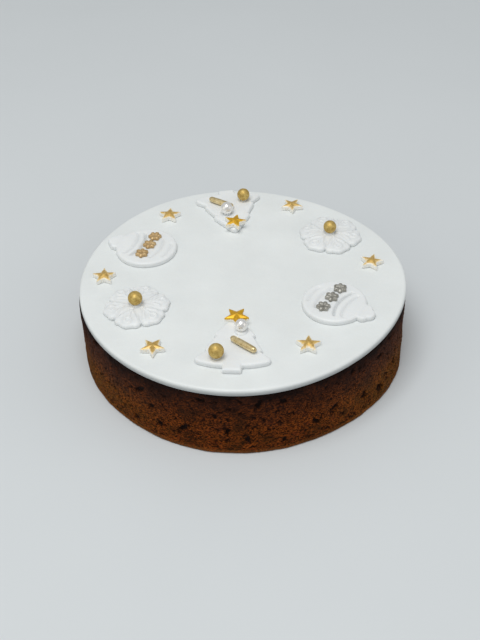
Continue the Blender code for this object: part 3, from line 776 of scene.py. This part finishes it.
# How much painted shade lies beside the veins and rings, and in the valleys
VEIN_SIDE_PAINTED_SHADE, VALLEY_PAINTED_SHADE = 0.3, 0.45
SNOWFLAKE_PLACES = {
    "snowflake_left": (-62.6 * MM, -26.4 * MM, 12.5),
    "snowflake_right": (58.6 * MM, 42.5 * MM, 44),
}


def snowflake_lobes():
    """The lobes of all six arms."""
    lobes = []
    for number in range(6):
        turn = Matrix.Rotation(math.radians(60 * number), 2)
        for along, beside, radius in ARM_LOBES:
            spot = turn @ Vector((along, beside))
            lobes.append((spot.x, spot.y, radius))
    return lobes


def distance_to_line(spot, start, end):
    """How far a flat point is from a straight line between two others."""
    run = end - start
    share = min(1, max(0, (spot - start).dot(run) / run.length_squared))
    return (spot - start - run * share).length


def snowflake_relief(x, y, share, angle):
    """The raised middle, the forked veins and the ring of each arm, and the valleys between the arms."""
    distance = math.hypot(x, y)
    off = (angle + math.pi / 6) % (math.pi / 3) - math.pi / 6
    spot = Vector((distance * math.cos(off), distance * math.sin(off)))
    height = SNOWFLAKE_DOME * max(0, 1 - share ** 2)
    nearest = min(distance_to_line(spot, Vector(a) * MM, Vector(b) * MM) for a, b in VEINS)
    ring = abs((spot - Vector((RING_PLACE, 0))).length - RING_RADIUS)
    raised_line = math.exp(-(min(nearest, ring) / VEIN_WIDTH) ** 2)
    to_valley = (math.pi / 6 - abs(off)) * distance / VALLEY_WIDTH
    valley = math.exp(-to_valley ** 2) * min(1, max(0, share - 0.5) * 2)
    beside = math.exp(-((min(nearest, ring) - VEIN_SIDE_SHADE_PLACE) / VEIN_SIDE_SHADE_WIDTH) ** 2)
    lift = height + VEIN_HEIGHT * (raised_line - VALLEY_DEPTH * valley) * min(1, distance / VEIN_START)
    # The second value is painted shade beside the veins and rings and in the valleys
    return lift, min(1, VEIN_SIDE_PAINTED_SHADE * beside + VALLEY_PAINTED_SHADE * valley)


snowflake_edge = lobed_outline(snowflake_lobes(), SNOWFLAKE_CORE, SNOWFLAKE_COLUMNS)
snowflake = pressed_piece("snowflake", SNOWFLAKE_COLUMNS, SNOWFLAKE_THICK, snowflake_edge, snowflake_relief)
lay_motifs(snowflake, SNOWFLAKE_PLACES)

# The stars
# Little five-pointed stars pressed from white paste, with a ridge to each point. Edible gold powder is
# brushed over the ridges and the middle of the border stars, so their flanks and walls stay pale. The two
# stars on the trees are painted gold over their whole top.
STAR_RADIUS = 7.7 * MM
STAR_WAIST = 0.46
STAR_WALL = 2.7 * MM
STAR_SOFT_EDGE = 0.3 * MM
STAR_CUTS = 3
BORDER_STARS = (
    (-51.3 * MM, -64.8 * MM, 56),
    (37.7 * MM, -65.8 * MM, 13),
    (82.0 * MM, 11.5 * MM, 0),
    (35.6 * MM, 76.6 * MM, 54),
    (-46.0 * MM, 69.2 * MM, 14),
    (-84.4 * MM, 3.6 * MM, 20),
)
TREE_STARS = {"star_tree_front": (-2.9 * MM, -42.9 * MM, 54), "star_tree_back": (-2.8 * MM, 54.6 * MM, 3)}

# How thickly each star is covered, and how wide the powder lies on a ridge and in the middle
DUST_COVER = {"star_1": 0.4, "star_2": 0.3, "star_3": 0.2, "star_4": 0.25, "star_5": 0.32, "star_6": 0.36,
              "star_tree_back": 0.6, "star_tree_front": 1.4}
RIDGE_DUST_WIDTH = 0.9 * MM
MIDDLE_DUST_WIDTH = 3.9 * MM
DUST_ON_RIDGE, DUST_IN_MIDDLE, DUST_FROM_COVER = 0.5, 0.72, 0.55

# The share of a star's height where powder starts, the height over which it thickens, and the cover past
# which it also runs down the walls
DUST_START = 0.6
DUST_RISE = 0.5 * MM
DUST_RUNS_PAST, DUST_RUN = 0.9, 4

# The stain of thin powder, and the dull and the bright metal of thick powder
BRUSHED_GOLD = ((236, 214, 168), (192, 152, 72), (228, 194, 120))
PAINTED_GOLD = ((232, 196, 96), (206, 152, 16), (234, 186, 50))
BARE_STAR = (246, 245, 240)


def dust_star(piece, cover, turn):
    """Stores how much gold lies at each point: most on ridges and in the middle, none low on the walls."""
    low = min(vertex.co.z for vertex in piece.data.vertices)
    high = max(vertex.co.z for vertex in piece.data.vertices)
    wall = low + (high - low) * DUST_START
    middle = sum((vertex.co for vertex in piece.data.vertices), Vector()).to_2d() / len(piece.data.vertices)
    spokes = [Matrix.Rotation(math.radians(turn + 72 * number), 2) for number in range(5)]
    tips = [spoke @ Vector((STAR_RADIUS, 0)) for spoke in spokes]
    start = Vector((0, 0))
    layer = piece.data.attributes.new("gold", "FLOAT", "POINT")
    for vertex, value in zip(piece.data.vertices, layer.data):
        spot = vertex.co.to_2d() - middle
        ridge = min(distance_to_line(spot, start, tip) for tip in tips)
        on_ridge = math.exp(-(ridge / (RIDGE_DUST_WIDTH + cover * MM)) ** 2)
        in_middle = math.exp(-(spot.length / MIDDLE_DUST_WIDTH) ** 2)
        above = (vertex.co.z - wall) / DUST_RISE + max(0, cover - DUST_RUNS_PAST) * DUST_RUN
        laid = DUST_ON_RIDGE * on_ridge + DUST_IN_MIDDLE * in_middle + cover * DUST_FROM_COVER
        value.value = min(1, laid) * min(1, max(0, above))


def gold_powder_material(name, stain, dull, bright):
    """White paste with gold powder on it: metallic where it lies thick, a warm stain where it thins out."""
    made, tree, shader, place = new_material(name)
    gold = node(tree, "Attribute", attribute_name="gold").outputs["Fac"]
    patchy = speckle(tree, place, 1.8 * MM, 4, 0.7)
    cover = sums(tree, "ADD", gold, between(tree, patchy, 0.3, 0.7, -0.42, 0.42))
    thick = between(tree, cover, 0.5, 0.85)
    stained = blended(tree, between(tree, cover, 0.05, 0.5), tone(*BARE_STAR), tone(*stain))
    metal = blended(tree, between(tree, patchy, 0.35, 0.65), tone(*dull), tone(*bright))
    tree.links.new(blended(tree, thick, stained, metal), shader.inputs["Base Color"])
    tree.links.new(sums(tree, "MULTIPLY", thick, 0.55), shader.inputs["Metallic"])
    tree.links.new(between(tree, patchy, 0.3, 0.7, 0.34, 0.5), shader.inputs["Roughness"])
    tree.links.new(raised(tree, patchy, 0.2 * MM, 0.5), shader.inputs["Normal"])
    shader.inputs["Subsurface Weight"].default_value = 0.25
    shader.inputs["Subsurface Radius"].default_value = (1.0, 0.95, 0.85)
    shader.inputs["Subsurface Scale"].default_value = 2 * MM
    return made


star_low, star_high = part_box("star_1")[0][2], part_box("star_1")[1][2]
bpy.ops.object.select_all(action="DESELECT")
bpy.ops.mesh.primitive_cone_add(vertices=10, radius1=STAR_RADIUS, radius2=STAR_RADIUS, depth=STAR_WALL,
                                location=(0, 0, STAR_WALL / 2))
star = bpy.context.object
bpy.ops.object.transform_apply(location=True)
for vertex in star.data.vertices:
    angle = math.atan2(vertex.co.y, vertex.co.x) - math.pi / 2
    if math.cos(5 * angle) < 0:
        vertex.co.x *= STAR_WAIST
        vertex.co.y *= STAR_WAIST
edit_faces(star, lambda face: face.normal.z > 0.9)
bpy.ops.mesh.poke(offset=star_high - star_low - STAR_WALL)
edit_edges(star, lambda a, b: abs(a.z - b.z) > STAR_WALL * 0.9 or min(a.z, b.z) > STAR_WALL * 0.9)
bpy.ops.mesh.bevel(offset=STAR_SOFT_EDGE, segments=2, profile=0.6, affect="EDGES")
bpy.ops.mesh.select_all(action="SELECT")
bpy.ops.mesh.quads_convert_to_tris()
bpy.ops.mesh.subdivide(number_cuts=STAR_CUTS)
close(star, "star", 40)
brushed_gold = gold_powder_material("gold_dusted_paste", *BRUSHED_GOLD)
painted_gold = gold_powder_material("gold_painted_paste", *PAINTED_GOLD)
star_places = {f"star_{number + 1}": place for number, place in enumerate(BORDER_STARS)}
star_places.update(TREE_STARS)
for name, (x, y, turn) in star_places.items():
    piece = set_down(star, name + "_dusted", x, y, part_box(name)[0][2], turn - 90)
    dust_star(piece, DUST_COVER[name], turn)
    dress(piece, painted_gold if name in TREE_STARS else brushed_gold, "gold_dust", name)
bpy.data.objects.remove(star)

# The balls and rods
# Sugar pearls and rods, panned smooth and glazed with gold or silver lustre. The glaze is slightly pitted,
# thinner on some spots, and dulls where it was handled.

# Each ball's place and diameter
BALL_PLACES = {
    "ball_gold_tree_front": (-14.8 * MM, -76.2 * MM, 9.0 * MM),
    "ball_gold_tree_back": (3.3 * MM, 83.0 * MM, 8.3 * MM),
    "ball_gold_snowflake_left": (-62.9 * MM, -27.4 * MM, 8.7 * MM),
    "ball_gold_snowflake_right": (58.1 * MM, 41.4 * MM, 8.3 * MM),
    "ball_silver_tree_front": (-0.4 * MM, -53.5 * MM, 7.6 * MM),
    "ball_silver_tree_back": (-7.9 * MM, 67.2 * MM, 8.2 * MM),
}
BALL_LUMP_SPAN = 2.5 * MM
ROD_LENGTH = 19.0 * MM
ROD_RADIUS = 2.0 * MM
ROD_SLIMMING = 0.16
ROD_LUMP_SPAN = 3 * MM
ROD_CUTS = 24
ROD_PLACES = {"rod_tree_front": (0.6 * MM, -68.1 * MM, -42), "rod_tree_back": (-11.6 * MM, 77.2 * MM, -34)}

# Lumps as a share of the radius, and how far the glaze lies inside its solid to leave room for them
SUGAR_LUMPS = 0.012
BALL_ROOM = 0.99
ROD_ROOM = 0.985

# The dull and the bright tone of each glaze
GOLD_GLAZE = ((176, 144, 74), (226, 199, 124))
PALE_GOLD_GLAZE = ((198, 174, 120), (240, 223, 180))
SILVER_GLAZE = ((236, 234, 232), (255, 254, 252))


def glazed_sugar(name, tones, roughness, metallic):
    """Metallic glaze on panned sugar, from a dull to a bright tone."""
    dull, bright = (tone(*colour) for colour in tones)
    made, tree, shader, place = new_material(name)
    blotch = speckle(tree, place, 2.6 * MM, 4, 0.65)
    pits = speckle(tree, place, 0.55 * MM, 2, 0.6)
    colour = blended(tree, between(tree, blotch, 0.34, 0.66), dull, bright)
    colour = blended(tree, between(tree, pits, 0.62, 0.75, 0, 0.4), colour, dull)
    tree.links.new(colour, shader.inputs["Base Color"])
    tree.links.new(between(tree, blotch, 0.3, 0.7, roughness + 0.08, roughness - 0.05),
                   shader.inputs["Roughness"])
    tree.links.new(raised(tree, sums(tree, "ADD", pits, blotch), 0.08 * MM, 0.45), shader.inputs["Normal"])
    shader.inputs["Metallic"].default_value = metallic
    return made


def panned(point):
    """The slight lumps that sugar picks up as it is panned."""
    return point * (1 + SUGAR_LUMPS * noise.noise(point / BALL_LUMP_SPAN))


gold_sugar = glazed_sugar("gold_glazed_sugar", GOLD_GLAZE, roughness=0.55, metallic=0.72)
rod_gold = glazed_sugar("pale_gold_glazed_sugar", PALE_GOLD_GLAZE, roughness=0.32, metallic=0.78)
silver_sugar = glazed_sugar("silver_glazed_sugar", SILVER_GLAZE, roughness=0.25, metallic=0.6)
for name, (x, y, diameter) in BALL_PLACES.items():
    bpy.ops.object.select_all(action="DESELECT")
    bpy.ops.mesh.primitive_uv_sphere_add(segments=48, ring_count=28, radius=diameter / 2 * BALL_ROOM)
    ball = close(bpy.context.object, name + "_glazed", 180)
    reshape(ball, panned)
    ball.data.transform(Matrix.Translation((x, y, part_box(name)[0][2] + diameter / 2)))
    metal_name = "gold" if "gold" in name else "silver"
    dress(ball, gold_sugar if metal_name == "gold" else silver_sugar, metal_name + "_sugar", name)

bpy.ops.object.select_all(action="DESELECT")
bpy.ops.mesh.primitive_uv_sphere_add(segments=32, ring_count=24, radius=ROD_RADIUS * ROD_ROOM)
rod = bpy.context.object
edit_faces(rod, lambda face: face.center.z > 0)
bpy.ops.transform.translate(value=(0, 0, ROD_LENGTH / 2 - ROD_RADIUS))
edit_faces(rod, lambda face: face.center.z < 0)
bpy.ops.transform.translate(value=(0, 0, ROD_RADIUS - ROD_LENGTH / 2))
edit_edges(rod, lambda a, b: abs(a.z - b.z) > ROD_RADIUS)
bpy.ops.mesh.subdivide(number_cuts=ROD_CUTS)
bpy.ops.object.mode_set(mode="OBJECT")


def spindle(point):
    """A rod a little slimmer towards its ends, with the lumps of panned sugar, lying along X."""
    share = abs(point.z) / (ROD_LENGTH / 2)
    slim = 1 - ROD_SLIMMING * share ** 2
    lump = 1 + SUGAR_LUMPS * noise.noise(point / ROD_LUMP_SPAN)
    return Vector((point.z, point.x * slim * lump, point.y * slim * lump))


reshape(rod, spindle)
edit(rod, (False, False, True))
bpy.ops.mesh.select_all(action="SELECT")
bpy.ops.mesh.normals_make_consistent(inside=False)
close(rod, "rod", 180)
for name, (x, y, turn) in ROD_PLACES.items():
    piece = set_down(rod, name + "_glazed", x, y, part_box(name)[0][2] + ROD_RADIUS, turn)
    dress(piece, rod_gold, "gold_sugar", name)
bpy.data.objects.remove(rod)

# The blossoms
# Tiny six-petalled sugar blossoms, three along the middle band of each bauble. They are pressed with fluted
# petals around a dimple, then painted silver or gold.
BLOSSOM_RADIUS = 3.75 * MM
BLOSSOM_WAVE = 0.5 * MM
BLOSSOM_THICK = 2.0 * MM
BLOSSOM_COLUMNS = 96
BLOSSOM_RINGS = 14
BLOSSOM_TURN = 11

# The form of the petals in shares of the thickness. The dimple's edge and the bend are shares of the way out
DIMPLE = 0.26
DIMPLE_EDGE = 0.7
PETAL_DROOP = 0.4
PETAL_BEND = 0.74
PETAL_SWELL = 0.07
PETAL_GROOVE = 0.06
SILVER_PAINT = ((138, 136, 128), (190, 188, 180))
GOLD_PAINT = ((180, 148, 100), (210, 182, 136))
BLOSSOMS = {
    "blossom_silver": ((48.4 * MM, -34.3 * MM), (54.1 * MM, -25.4 * MM), (59.8 * MM, -17.4 * MM)),
    "blossom_gold": ((-54.5 * MM, 41.9 * MM), (-57.6 * MM, 33.2 * MM), (-62.0 * MM, 24.0 * MM)),
}


def petals(point):
    """Petals with a groove down the middle of each, around the dimple."""
    angle = math.atan2(point.y, point.x)
    share = math.hypot(point.x, point.y)
    reach = BLOSSOM_RADIUS * share + share * BLOSSOM_WAVE * math.cos(6 * angle)
    height = point.z
    if height > BLOSSOM_THICK / 2:
        bowl = 1 - DIMPLE + DIMPLE * math.sin(min(1, share / DIMPLE_EDGE) * math.pi / 2) ** 2
        droop = PETAL_DROOP * max(0, share - PETAL_BEND) / (1 - PETAL_BEND)
        swell = PETAL_SWELL * math.cos(6 * angle) * min(1, share * 2)
        groove = PETAL_GROOVE * math.cos(12 * angle) * min(1, share * 1.6)
        height = BLOSSOM_THICK * min(1, bowl - droop + (swell - groove))
    return Vector((reach * math.cos(angle), reach * math.sin(angle), height))


bpy.ops.object.select_all(action="DESELECT")
bpy.ops.mesh.primitive_cylinder_add(vertices=BLOSSOM_COLUMNS, radius=1, depth=BLOSSOM_THICK,
                                    location=(0, 0, BLOSSOM_THICK / 2))
blossom = bpy.context.object
bpy.ops.object.transform_apply(location=True)
edit_faces(blossom, lambda face: face.normal.z > 0.99)
for ring in range(BLOSSOM_RINGS - 1):
    bpy.ops.mesh.inset(thickness=1 / BLOSSOM_RINGS)
bpy.ops.mesh.merge(type="CENTER")
bpy.ops.object.mode_set(mode="OBJECT")
reshape(blossom, petals)
close(blossom, "blossom", 50)
silver_paint = glazed_sugar("silver_painted_blossom", SILVER_PAINT, roughness=0.45, metallic=0.6)
gold_paint = glazed_sugar("gold_painted_blossom", GOLD_PAINT, roughness=0.5, metallic=0.5)
for name, places in BLOSSOMS.items():
    paint = gold_paint if "gold" in name else silver_paint
    for number, (x, y) in enumerate(places):
        solid = f"{name}_{number + 1}"
        piece = set_down(blossom, solid + "_painted", x, y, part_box(solid)[0][2], BLOSSOM_TURN * number)
        dress(piece, paint, "gold_sugar" if "gold" in name else "silver_sugar", solid)
bpy.data.objects.remove(blossom)

# The dabs of icing
# Small dabs of soft white icing hold the balls. One squeezes out as a collar round the front silver ball,
# and one as a bead beside the gold ball on the left snowflake.
DAB_LUMPS = 0.14
DAB_SUNK = 0.2 * MM

# Each dab's place, the ball whose foot gives its height, its radius and its own height
DABS = (
    (-0.4 * MM, -54.3 * MM, "ball_silver_tree_front", 3.7 * MM, 1.5 * MM),
    (-7.9 * MM, 67.2 * MM, "ball_silver_tree_back", 2.4 * MM, 1.1 * MM),
    (-62.9 * MM, -27.7 * MM, "ball_gold_snowflake_left", 3.3 * MM, 1.5 * MM),
    (-65.0 * MM, -31.6 * MM, "ball_gold_snowflake_left", 1.5 * MM, 0.9 * MM),
    (58.1 * MM, 41.1 * MM, "ball_gold_snowflake_right", 3.1 * MM, 1.4 * MM),
    (-14.8 * MM, -76.4 * MM, "ball_gold_tree_front", 2.1 * MM, 0.9 * MM),
    (3.3 * MM, 83.0 * MM, "ball_gold_tree_back", 2.1 * MM, 0.9 * MM),
)
for number, (x, y, above, radius, height) in enumerate(DABS):
    bpy.ops.object.select_all(action="DESELECT")
    bpy.ops.mesh.primitive_uv_sphere_add(segments=32, ring_count=16, radius=1)
    dab = bpy.context.object
    seed = Vector((number * 3.1, 0, 0))
    reshape(dab, lambda p: Vector((p.x * radius, p.y * radius, p.z * height))
            * (1 + DAB_LUMPS * noise.noise(p * 1.3 + seed)))
    close(dab, f"icing_dab_{number + 1}", 180)
    dab.data.transform(Matrix.Translation((x, y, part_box(above)[0][2] - DAB_SUNK)))
    dress(dab, motif_paste, "white_paste")

# The room
# A plain pale floor under the broad soft light of a window above. A weak fill from the left and a pale card
# at each side lighten the flanks. The camera is at the photograph's place.
FLOOR_SIZE = 8
FLOOR_LOW = -0.2 * MM
FLOOR_SHADED, FLOOR_BRIGHT = (209, 214, 217), (215, 220, 223)
ROOM_COLOUR = (240, 243, 244)
ROOM_STRENGTH = 0.4

# Each light's place, size, power and colour
LIGHTS = {
    "window": ((-0.25, -0.45, 1.95), 1.2, 24.2, (1.0, 0.995, 0.985)),
    "fill": ((-1.4, -1.2, 0.9), 1.4, 1.5, (1.0, 0.98, 0.96)),
    "left_card": ((-1.3, -0.5, 0.6), 0.9, 1.3, (1.0, 0.93, 0.72)),
    "right_card": ((1.3, -0.4, 0.6), 0.9, 1.9, (1.0, 0.95, 0.88)),
}
CAMERA_PLACE = (0, -539.9 * MM, 460.7 * MM)
CAMERA_PITCH = math.radians(39.534)
CAMERA_YAW = math.radians(-0.117)
CAMERA_ROLL = math.radians(-1.589)
CAMERA_LENS = 61.875
SENSOR_HEIGHT = 36

bpy.ops.object.select_all(action="DESELECT")
bpy.ops.mesh.primitive_plane_add(size=FLOOR_SIZE, location=(0, 0, FLOOR_LOW))
worktop = bpy.context.object
worktop.name = "worktop"
pale, tree, shader, place = new_material("pale_worktop")
tree.links.new(blended(tree, speckle(tree, place, 0.25), tone(*FLOOR_SHADED), tone(*FLOOR_BRIGHT)),
               shader.inputs["Base Color"])
shader.inputs["Roughness"].default_value = 0.6
worktop.data.materials.append(pale)

room = bpy.data.worlds.new("soft_room")
room.use_nodes = True
room.node_tree.nodes["Background"].inputs["Color"].default_value = tone(*ROOM_COLOUR)
room.node_tree.nodes["Background"].inputs["Strength"].default_value = ROOM_STRENGTH
bpy.context.scene.world = room

for name, (place, size, power, colour) in LIGHTS.items():
    light = bpy.data.lights.new(name, "AREA")
    light.shape = "SQUARE"
    light.size = size
    light.energy = power
    light.color = colour
    lamp = bpy.data.objects.new(name, light)
    lamp.location = place
    lamp.rotation_euler = (-Vector(place)).to_track_quat("-Z", "Y").to_euler()
    bpy.context.scene.collection.objects.link(lamp)

ahead = Vector((math.sin(CAMERA_YAW) * math.cos(CAMERA_PITCH), math.cos(CAMERA_YAW) * math.cos(CAMERA_PITCH),
                -math.sin(CAMERA_PITCH)))
level = Vector((math.cos(CAMERA_YAW), -math.sin(CAMERA_YAW), 0))
over = level.cross(ahead)
right_side = math.cos(CAMERA_ROLL) * level + math.sin(CAMERA_ROLL) * over
upright = math.cos(CAMERA_ROLL) * over - math.sin(CAMERA_ROLL) * level
camera = bpy.data.objects.new("camera", bpy.data.cameras.new("camera"))
camera.data.sensor_fit = "VERTICAL"
camera.data.sensor_height = SENSOR_HEIGHT
camera.data.lens = CAMERA_LENS
turned = Matrix((right_side, upright, -ahead)).transposed().to_4x4()
camera.matrix_world = Matrix.Translation(CAMERA_PLACE) @ turned
bpy.context.scene.collection.objects.link(camera)
bpy.context.scene.camera = camera
bpy.context.scene.view_settings.view_transform = "Standard"
